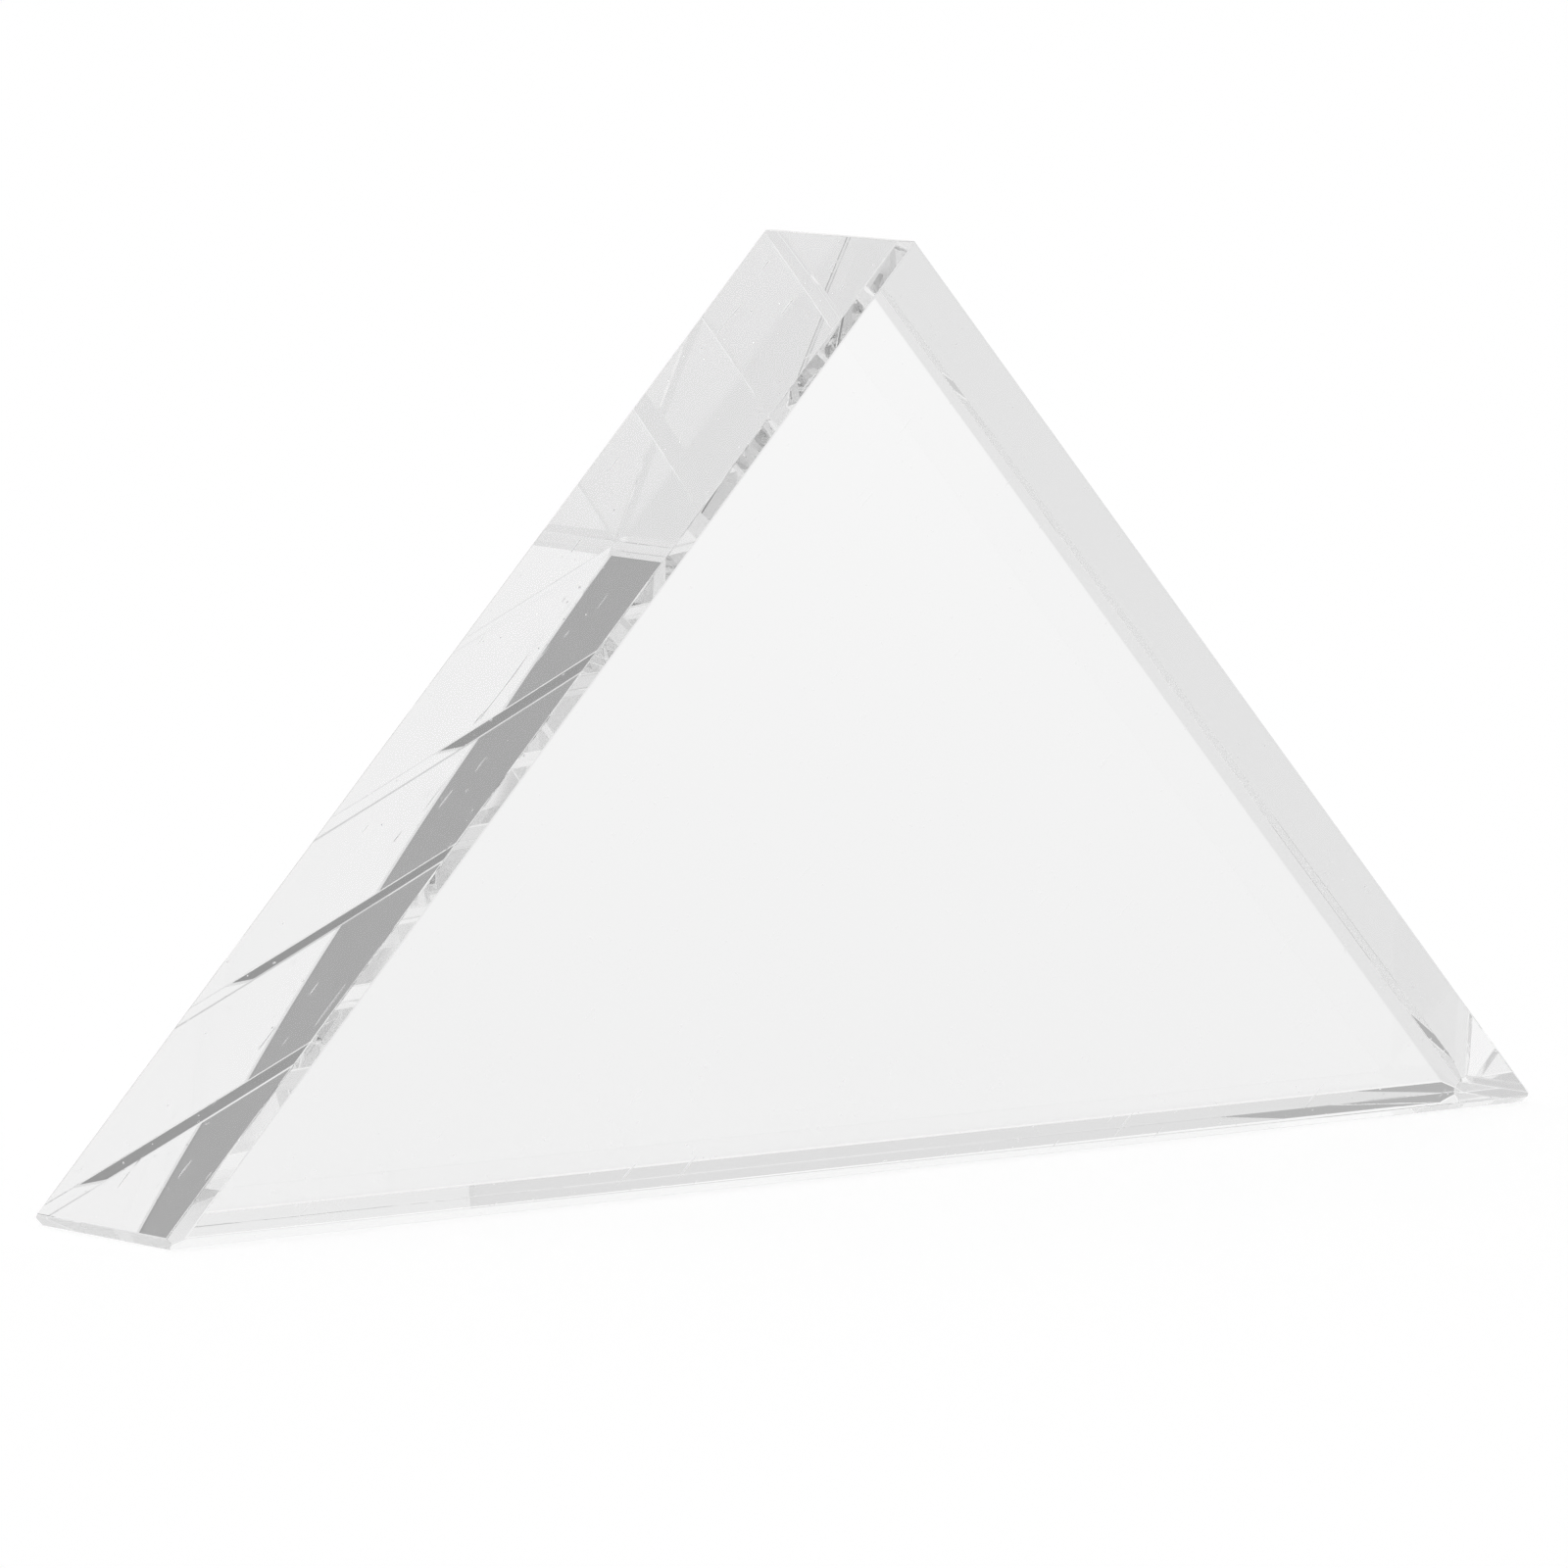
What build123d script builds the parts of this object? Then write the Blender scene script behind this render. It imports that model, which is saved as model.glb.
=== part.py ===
from build123d import *
import os
from math import cos, radians, sin, sqrt

# Driving dimensions, in millimetres and degrees.
LEG = 100.0                 # length of each leg face, measured between the sharp corners
THICKNESS = 16.0            # distance between the two triangular faces
APEX_ANGLE = 90.0           # angle between the two leg faces

# Width of the flat ground along each edge. The grinding is done by hand, so the widths differ a little,
# two flats get narrower along their length, and one front edge is only broken so that it isn't sharp.
APEX_BEVEL = 1.1
LEFT_CORNER_BEVEL = 0.9
RIGHT_CORNER_BEVEL = 0.9
FRONT_LEFT_BEVEL = 1.1
FRONT_RIGHT_BREAK = 0.2
FRONT_BASE_BEVEL_LEFT = 1.15
FRONT_BASE_BEVEL_RIGHT = 0.7
BACK_LEFT_BEVEL = 0.9
BACK_RIGHT_BEVEL_TOP = 0.85
BACK_RIGHT_BEVEL_FOOT = 1.5
BACK_BASE_BEVEL = 1.2

# Everything below follows from the values above.
half_depth = THICKNESS / 2
half_base = LEG * sin(radians(APEX_ANGLE / 2))
apex_height = LEG * cos(radians(APEX_ANGLE / 2))

# The block is cut from a plate: a triangle standing on its hypotenuse, with the origin in the middle
# of that long face, the length along X, the thickness along Y and the apex straight up.
with BuildPart() as blank:
    with BuildSketch(Plane.XZ):
        with BuildLine():
            Polyline((-half_base, 0), (half_base, 0), (0, apex_height), close=True)
        make_face()
    extrude(amount=half_depth, both=True)

# Outward normals of the five working faces.
leg_tilt = radians(APEX_ANGLE / 2)
left_leg = Vector(-cos(leg_tilt), 0, sin(leg_tilt))
right_leg = Vector(cos(leg_tilt), 0, sin(leg_tilt))
hypotenuse = Vector(0, 0, -1)
front = Vector(0, -1, 0)
back = Vector(0, 1, 0)

# The six corners before the edges are ground.
left_front, left_back = Vector(-half_base, -half_depth, 0), Vector(-half_base, half_depth, 0)
right_front, right_back = Vector(half_base, -half_depth, 0), Vector(half_base, half_depth, 0)
apex_front, apex_back = Vector(0, -half_depth, apex_height), Vector(0, half_depth, apex_height)

# The nine edges: the two faces that meet there, the sharp edge from end to end, and the width of its flat
# at each end.
edges = [
    (left_leg, right_leg, apex_front, apex_back, APEX_BEVEL, APEX_BEVEL),
    (left_leg, hypotenuse, left_front, left_back, LEFT_CORNER_BEVEL, LEFT_CORNER_BEVEL),
    (right_leg, hypotenuse, right_front, right_back, RIGHT_CORNER_BEVEL, RIGHT_CORNER_BEVEL),
    (front, left_leg, apex_front, left_front, FRONT_LEFT_BEVEL, FRONT_LEFT_BEVEL),
    (front, right_leg, apex_front, right_front, FRONT_RIGHT_BREAK, FRONT_RIGHT_BREAK),
    (front, hypotenuse, left_front, right_front, FRONT_BASE_BEVEL_LEFT, FRONT_BASE_BEVEL_RIGHT),
    (back, left_leg, apex_back, left_back, BACK_LEFT_BEVEL, BACK_LEFT_BEVEL),
    (back, right_leg, apex_back, right_back, BACK_RIGHT_BEVEL_TOP, BACK_RIGHT_BEVEL_FOOT),
    (back, hypotenuse, left_back, right_back, BACK_BASE_BEVEL, BACK_BASE_BEVEL),
]

# Each edge is ground to one flat that leans equally on its two faces. For faces whose normals are an
# angle t apart, a flat of width w lies w / 2 * tan(t / 2) below the sharp edge. A flat whose width changes
# lies in a plane that dips a little along the edge. The flats run into one another in plain mitres.
prism = blank.part
for normal_a, normal_b, start, end, start_width, end_width in edges:
    outward = (normal_a + normal_b).normalized()
    half_turn_cos = outward.dot(normal_a)
    dip = sqrt(1 - half_turn_cos**2) / half_turn_cos / 2
    first = start - outward * start_width * dip
    last = end - outward * end_width * dip
    facing = (last - first).cross(normal_a - normal_b).normalized()
    if facing.dot(outward) < 0:
        facing = -facing
    prism = split(prism, bisect_by=Plane(origin=first, z_dir=facing), keep=Keep.BOTTOM)

os.makedirs("parts", exist_ok=True)
export_step(prism, "parts/prism.step")
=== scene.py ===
from math import cos, radians, sin

import bmesh
import bpy
from mathutils import Matrix, Vector

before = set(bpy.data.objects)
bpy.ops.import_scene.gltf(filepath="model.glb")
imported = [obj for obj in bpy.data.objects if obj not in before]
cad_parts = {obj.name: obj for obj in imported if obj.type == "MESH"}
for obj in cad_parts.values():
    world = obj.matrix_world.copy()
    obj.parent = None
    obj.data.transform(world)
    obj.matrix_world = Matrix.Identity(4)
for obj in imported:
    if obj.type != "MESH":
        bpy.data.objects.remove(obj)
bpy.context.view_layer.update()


# ---------------------------------------------------------------- the glass block
# One solid block of clear optical crown glass, sawn from a plate, ground flat and polished on all faces.
# It is the only piece. It keeps the shape it has in the frame, with its edges eased by a hair in polishing,
# and is given its glass here: faces polished by hand, and the fine marks of years of handling.
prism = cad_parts["prism"]

CROWN_GLASS_INDEX = 1.517
EASED_EDGE = 0.00007                # metres taken off each side of an edge by the polisher

weld = prism.modifiers.new("joined_corners", "WELD")
weld.merge_threshold = 0.000001
plain = prism.modifiers.new("whole_faces", "DECIMATE")
plain.decimate_type = "DISSOLVE"
plain.angle_limit = radians(0.2)
eased = prism.modifiers.new("eased_edges", "BEVEL")
eased.offset_type = "OFFSET"
eased.width = EASED_EDGE
eased.segments = 3
eased.profile = 0.5
eased.limit_method = "ANGLE"
eased.angle_limit = radians(8)
eased.use_clamp_overlap = True
eased.material = -1

glass = bpy.data.materials.new("polished_crown_glass")
glass.use_nodes = True
nodes, links = glass.node_tree.nodes, glass.node_tree.links
surface = nodes["Principled BSDF"]
surface.inputs["Base Color"].default_value = (0.99, 0.99, 0.99, 1)
surface.inputs["Metallic"].default_value = 0
surface.inputs["IOR"].default_value = CROWN_GLASS_INDEX
surface.inputs["Transmission Weight"].default_value = 1

inside = nodes.new("ShaderNodeVolumeAbsorption")
inside.inputs["Color"].default_value = (0, 0, 0, 1)
inside.inputs["Density"].default_value = 0.45       # per metre of glass
links.new(inside.outputs[0], nodes["Material Output"].inputs["Volume"])


def glass_math(operation, a, b=0.0, c=0.0):
    node = nodes.new("ShaderNodeMath")
    node.operation = operation
    for socket, value in zip(node.inputs, (a, b, c)):
        if isinstance(value, (int, float)):
            socket.default_value = value
        else:
            links.new(value, socket)
    return node.outputs[0]


def glass_vector(operation, a, b=(0, 0, 0), by=None):
    node = nodes.new("ShaderNodeVectorMath")
    node.operation = operation
    for socket, value in zip(node.inputs, (a, b)):
        if isinstance(value, tuple):
            socket.default_value = value
        else:
            links.new(value, socket)
    if by is not None:
        links.new(by, node.inputs["Scale"])
    return node.outputs["Value" if operation in ("DOT_PRODUCT", "DISTANCE") else "Vector"]


# Hand polishing leaves every face a little out of true. The leans are in the shading only, and the mesh stays
# flat: a few thousandths on the big faces, changing across the thickness of the narrow ones, and up to about
# a hundredth on the flats.
FACES_OUT_OF_TRUE = (
    # outward normal, lean of the normal, and change of its Y part per metre of Y
    ((-0.7071, 0.0, 0.7071), (0.0, 0.0028, 0.0), -1.82),                # left leg face, crowned
    ((0.7071, 0.0, 0.7071), (0.0, -0.0020, 0.0), 0.89),                 # right leg face, slightly hollow
    ((0.0, 0.0, -1.0), (0.0, 0.0013, 0.0), 1.40),                       # long face, hollow
    ((0.0, -1.0, 0.0), (0.0015, 0.0, -0.0008), 0.0),                    # front
    ((0.0, 1.0, 0.0), (-0.0023, 0.0, 0.0037), 0.0),                     # back
    ((-0.5, -0.7071, 0.5), (-0.0023, 0.0033, 0.0023), 0.0),             # flat between front and left leg
    ((0.5, 0.7071, 0.5), (-0.0091, 0.0128, -0.0091), 0.0),              # flat between back and right leg
    ((0.0, 0.7071, -0.7071), (0.0, 0.0103, 0.0103), 0.0),               # flat between back and long face
)
place = nodes.new("ShaderNodeTexCoord")
at = nodes.new("ShaderNodeSeparateXYZ")
links.new(place.outputs["Object"], at.inputs[0])
facing = nodes.new("ShaderNodeNewGeometry")
outwards = glass_math("MULTIPLY_ADD", facing.outputs["Backfacing"], -2.0, 1.0)
true_way = glass_vector("SCALE", facing.outputs["True Normal"], by=outwards)
polished_way = facing.outputs["Normal"]
for outward, lean, change in FACES_OUT_OF_TRUE:
    here = glass_math("GREATER_THAN", glass_vector("DOT_PRODUCT", true_way, outward), 0.9995)
    leaning = nodes.new("ShaderNodeCombineXYZ")
    leaning.inputs["X"].default_value, _, leaning.inputs["Z"].default_value = lean
    links.new(glass_math("MULTIPLY_ADD", at.outputs["Y"], change, lean[1]), leaning.inputs["Y"])
    shift = glass_vector("SCALE", leaning.outputs[0], by=glass_math("MULTIPLY", here, outwards))
    polished_way = glass_vector("ADD", polished_way, shift)
polished_way = glass_vector("NORMALIZE", polished_way)

# Marks of handling: tiny pits and short hairlines in patches, and two small chips at the edges. They sit on
# the outer skin, so only light that meets a face from outside finds them.
MARK_ROUGHNESS = 0.3
GROOVE_DEPTH = 0.00001              # metres
HAIRLINE_SIZE = (0.0055, 0.00035, 0.00035)          # metres along the wipe and across it
PITS_PER_MM = 2.8
PATCHES_PER_MM = 0.23
CHIPS = (
    # place and radius, in metres
    ((0.0576, -0.0078, 0.0003), 0.00030),               # lower front edge, near the right corner
    ((0.0006, 0.0010, 0.0701), 0.00025),                # apex
)
in_mm = nodes.new("ShaderNodeMapping")
in_mm.inputs["Scale"].default_value = (1000, 1000, 1000)
links.new(place.outputs["Object"], in_mm.inputs["Vector"])
along_wipe = nodes.new("ShaderNodeMapping")         # the way a cloth is drawn over the block
along_wipe.vector_type = "TEXTURE"
along_wipe.inputs["Rotation"].default_value = (0, -0.70, 0)
along_wipe.inputs["Scale"].default_value = HAIRLINE_SIZE
links.new(place.outputs["Object"], along_wipe.inputs["Vector"])


def glass_noise(scale, where=in_mm):
    node = nodes.new("ShaderNodeTexNoise")
    node.inputs["Scale"].default_value = scale
    node.inputs["Detail"].default_value = 0
    links.new(where.outputs[0], node.inputs["Vector"])
    return node.outputs["Fac"]


def fade(value, start, end, low=0.0, high=1.0):
    node = nodes.new("ShaderNodeMapRange")
    node.interpolation_type = "SMOOTHSTEP"
    links.new(value, node.inputs["Value"])
    for socket, number in (("From Min", start), ("From Max", end), ("To Min", low), ("To Max", high)):
        node.inputs[socket].default_value = number
    return node.outputs[0]


patchy = glass_noise(PATCHES_PER_MM)
hairline = fade(glass_noise(1.0, along_wipe), 0.78, 0.83)
pit = fade(glass_noise(PITS_PER_MM), 0.79, 0.85)
mark = glass_math("MULTIPLY", glass_math("MAXIMUM", hairline, pit), fade(patchy, 0.38, 0.50))
for middle, radius in CHIPS:
    away = glass_vector("DISTANCE", place.outputs["Object"], middle)
    mark = glass_math("MAXIMUM", mark, fade(away, 0.6 * radius, radius, 1.0, 0.0))
mark = glass_math("MULTIPLY", mark, glass_math("SUBTRACT", 1.0, facing.outputs["Backfacing"]))
links.new(glass_math("MULTIPLY", mark, MARK_ROUGHNESS), surface.inputs["Roughness"])
groove = nodes.new("ShaderNodeBump")
groove.invert = True
groove.inputs["Strength"].default_value = 0.3
groove.inputs["Distance"].default_value = GROOVE_DEPTH
links.new(mark, groove.inputs["Height"])
links.new(polished_way, groove.inputs["Normal"])
links.new(groove.outputs[0], surface.inputs["Normal"])

prism.data.materials.clear()
prism.data.materials.append(glass)
for face in prism.data.polygons:
    face.use_smooth = False


# ---------------------------------------------------------------- the studio floor
# A plain pale light table, far larger than the block so that its edges never show: opal sheet lit a little
# from below, with its soft sheen painted as a brighter glow towards glancing views for all rays but the
# camera's. The camera sees it as white, and the soft shadow of the block stays on it.
FLOOR_HALF = 8.0
FLOOR_DROP = 0.00004                # the block's ground face never quite wets the table

sheet = bmesh.new()
bmesh.ops.create_grid(sheet, x_segments=1, y_segments=1, size=FLOOR_HALF)
bmesh.ops.translate(sheet, verts=sheet.verts, vec=(0, 0, -FLOOR_DROP))
floor_mesh = bpy.data.meshes.new("floor")
sheet.to_mesh(floor_mesh)
sheet.free()
floor = bpy.data.objects.new("floor", floor_mesh)
bpy.context.scene.collection.objects.link(floor)

table_top = bpy.data.materials.new("pale_light_table")
table_top.use_nodes = True
nodes, links = table_top.node_tree.nodes, table_top.node_tree.links
nodes.clear()


def lit_sheet(colour, glow):
    """Matt sheet of this whiteness that also glows: a little from below, or, where the glow is high, as
    painted sheen.
    """
    matt = nodes.new("ShaderNodeBsdfDiffuse")
    matt.inputs["Color"].default_value = (colour, colour, colour, 1)
    below = nodes.new("ShaderNodeEmission")
    below.inputs["Color"].default_value = (1, 1, 1, 1)
    below.inputs["Strength"].default_value = glow
    both = nodes.new("ShaderNodeAddShader")
    links.new(matt.outputs[0], both.inputs[0])
    links.new(below.outputs[0], both.inputs[1])
    return both.outputs[0]


def choose(share, first, second):
    mix = nodes.new("ShaderNodeMixShader")
    links.new(share, mix.inputs[0])
    links.new(first, mix.inputs[1])
    links.new(second, mix.inputs[2])
    return mix.outputs[0]


painted_sheen_fresnel = nodes.new("ShaderNodeFresnel")
painted_sheen_fresnel.inputs["IOR"].default_value = 1.45
ray = nodes.new("ShaderNodeLightPath")
# Painted sheen: towards glancing views the floor glows brighter, a painted reflection of the white tent, for
# every ray but the camera's.
seen_through_glass_with_painted_sheen = choose(painted_sheen_fresnel.outputs[0], lit_sheet(0.2, 0.60), lit_sheet(0.1, 0.96))
seen_by_camera = lit_sheet(0.7, 0.425)     # comes to 1.00 in this tent, so the soft shadow isn't clipped
table_output = nodes.new("ShaderNodeOutputMaterial")
table_surface = choose(ray.outputs["Is Camera Ray"], seen_through_glass_with_painted_sheen, seen_by_camera)
links.new(table_surface, table_output.inputs["Surface"])
floor_mesh.materials.append(table_top)


# ---------------------------------------------------------------- the studio light
# A white tent all round, a little softer overhead and brighter where the big lamp stands behind the block.
# A dim gap in it at the front right gives clear glass the darker bands that show its edges.
world = bpy.data.worlds.new("white_tent")
bpy.context.scene.world = world
world.use_nodes = True
nodes, links = world.node_tree.nodes, world.node_tree.links
nodes.clear()
toward = nodes.new("ShaderNodeTexCoord")


def math(operation, a, b=0.0):
    node = nodes.new("ShaderNodeMath")
    node.operation = operation
    for socket, value in zip(node.inputs, (a, b)):
        if isinstance(value, (int, float)):
            socket.default_value = value
        else:
            links.new(value, socket)
    return node.outputs[0]


def patch(azimuth, elevation, full, none, amount):
    """A soft round patch of the tent: amount within full degrees of its middle, nothing beyond none."""
    azimuth, elevation = radians(azimuth), radians(elevation)
    near = nodes.new("ShaderNodeVectorMath")
    near.operation = "DOT_PRODUCT"
    links.new(toward.outputs["Generated"], near.inputs[0])
    near.inputs[1].default_value = (
        cos(azimuth) * cos(elevation), sin(azimuth) * cos(elevation), sin(elevation)
    )
    fade = nodes.new("ShaderNodeMapRange")
    fade.interpolation_type = "SMOOTHSTEP"
    links.new(near.outputs["Value"], fade.inputs["Value"])
    for socket, number in (
        ("From Min", cos(radians(none))), ("From Max", cos(radians(full))), ("To Min", 0), ("To Max", amount)
    ):
        fade.inputs[socket].default_value = number
    return fade.outputs[0]


# Azimuths are measured from +X towards +Y, in degrees.
TENT = 0.93
tent = TENT
for soft_patch in (
    # azimuth, elevation, full within, none beyond, amount
    (-25, 55, 30, 50, -0.17),       # overhead, towards the front right
    (42, 36, 10, 18, 0.09),         # the big lamp behind the block
    (-47, 12, 12, 27, -0.58),       # the gap at the front right
    (-120, 12, 8, 32, -0.50),       # the stand in front of the block
    (131, 25, 8, 18, -0.28),        # a seam of the tent, behind on the left
    (-76, 52, 5, 14, -0.25),        # a pole of the tent, high in front
    (178, 12, 10, 25, -0.30),       # the shaded left side
):
    tent = math("ADD", patch(*soft_patch), tent)
ray = nodes.new("ShaderNodeLightPath")
tent = math("MAXIMUM", tent, ray.outputs["Is Camera Ray"])
background = nodes.new("ShaderNodeBackground")
background.inputs["Color"].default_value = (1, 1, 1, 1)
output = nodes.new("ShaderNodeOutputWorld")
links.new(tent, background.inputs["Strength"])
links.new(background.outputs[0], output.inputs["Surface"])


# ---------------------------------------------------------------- the camera
# A long lens a little above the block, looking along the table at its left end and its broad front face.
CAMERA_PLACE = Vector((-0.56588, -0.60501, 0.11715))
CAMERA_YAW = radians(42.87)         # from +Y towards +X
CAMERA_PITCH = radians(6.10)        # downwards
CAMERA_ROLL = radians(1.23)
CAMERA_LENS = 253.3

ahead = Vector((
    sin(CAMERA_YAW) * cos(CAMERA_PITCH),
    cos(CAMERA_YAW) * cos(CAMERA_PITCH),
    -sin(CAMERA_PITCH),
))
across = Vector((cos(CAMERA_YAW), -sin(CAMERA_YAW), 0))
upward = across.cross(ahead)
right_hand = cos(CAMERA_ROLL) * across + sin(CAMERA_ROLL) * upward
top = cos(CAMERA_ROLL) * upward - sin(CAMERA_ROLL) * across

camera_data = bpy.data.cameras.new("camera")
camera_data.sensor_width = 36
camera_data.lens = CAMERA_LENS
camera_data.clip_start = 0.05
camera_data.clip_end = 100
camera = bpy.data.objects.new("camera", camera_data)
camera.matrix_world = Matrix((
    (right_hand.x, top.x, -ahead.x, CAMERA_PLACE.x),
    (right_hand.y, top.y, -ahead.y, CAMERA_PLACE.y),
    (right_hand.z, top.z, -ahead.z, CAMERA_PLACE.z),
    (0, 0, 0, 1),
))
bpy.context.scene.collection.objects.link(camera)
bpy.context.scene.camera = camera

scene = bpy.context.scene
scene.view_settings.view_transform = "Standard"
# Light is trapped in the block for many reflections, and filtering it would darken the flats.
TRAPPED_BOUNCES = 200
scene.cycles.max_bounces = TRAPPED_BOUNCES
scene.cycles.transmission_bounces = TRAPPED_BOUNCES
scene.cycles.glossy_bounces = TRAPPED_BOUNCES
scene.cycles.blur_glossy = 0
